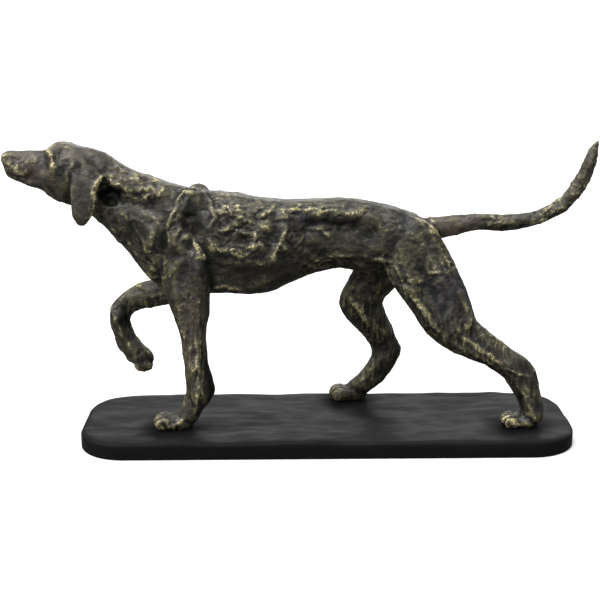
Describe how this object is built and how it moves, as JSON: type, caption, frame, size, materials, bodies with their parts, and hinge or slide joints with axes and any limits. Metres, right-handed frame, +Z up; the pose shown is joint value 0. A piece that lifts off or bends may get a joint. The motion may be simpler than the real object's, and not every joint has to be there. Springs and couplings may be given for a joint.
{
  "type": "hunting dog statue",
  "caption": "Statue of a lean hunting dog on point, one foreleg raised and tail out, roughly modelled with a rubbed bronze finish, on a low black plinth with rounded corners.",
  "frame": {"origin": "centre of the plinth's flat underside", "axes": "the dog looks along -X, its right side is towards +Y, +Z is up"},
  "size_m": [0.4978, 0.125, 0.2545],
  "materials": {
    "bronze_finish": "cast resin with a bronze-effect finish: dark olive brown, gold rubbed on the ridges, satin gloss",
    "black_plinth": "cast resin painted charcoal black, satin, gently uneven"
  },
  "bodies": {
    "root": {"dog": "bronze_finish", "plinth": "black_plinth"}
  },
  "joints": []
}
